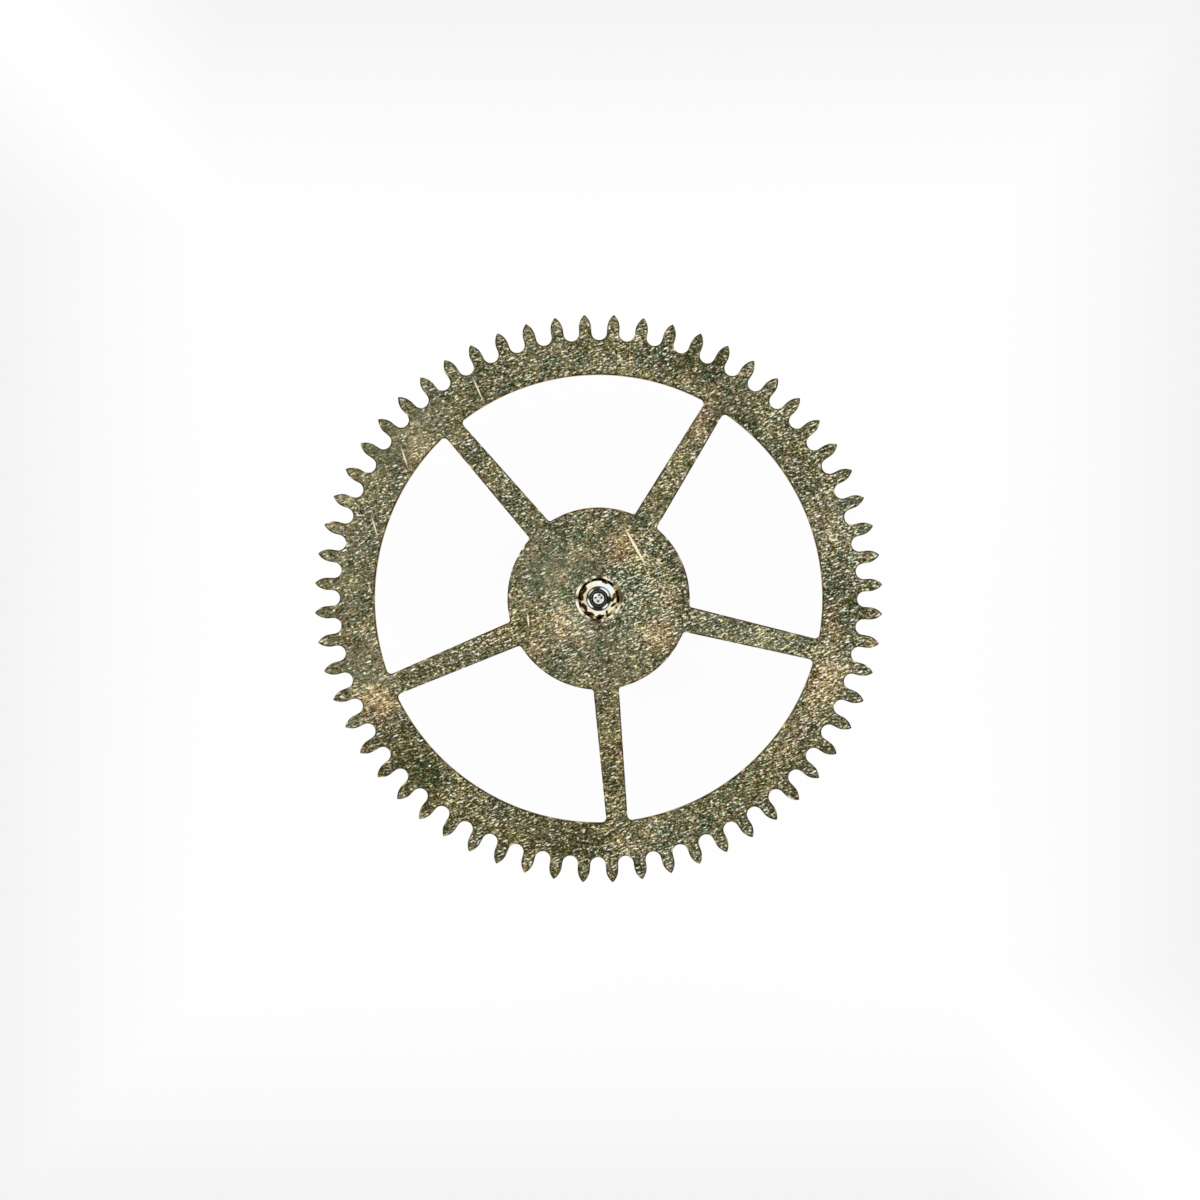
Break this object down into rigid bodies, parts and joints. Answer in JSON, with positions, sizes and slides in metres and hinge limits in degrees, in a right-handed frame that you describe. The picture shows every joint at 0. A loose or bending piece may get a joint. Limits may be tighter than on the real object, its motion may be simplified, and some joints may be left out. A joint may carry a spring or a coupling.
{
  "type": "setting wheel",
  "caption": "Crossed-out brass watch wheel with pointed teeth, riveted on a pivoted steel arbor with a leaf pinion.",
  "frame": {"origin": "on the arbor's axis, in the plane of the lower pivot's shoulder, which rests on the lower bearing", "axes": "+Z along the arbor, out of the wheel's riveted face and towards the upper pivot; +X and +Y lie in the wheel's plane, and seen from above the first arm is 58.77 degrees from +X"},
  "size_m": [0.0078, 0.0078, 0.0029],
  "materials": {
    "wheel_brass": "grained, tarnished",
    "arbor_steel": "polished"
  },
  "bodies": {
    "root": {"wheel": "wheel_brass", "pinion_arbor": "arbor_steel"}
  },
  "joints": []
}
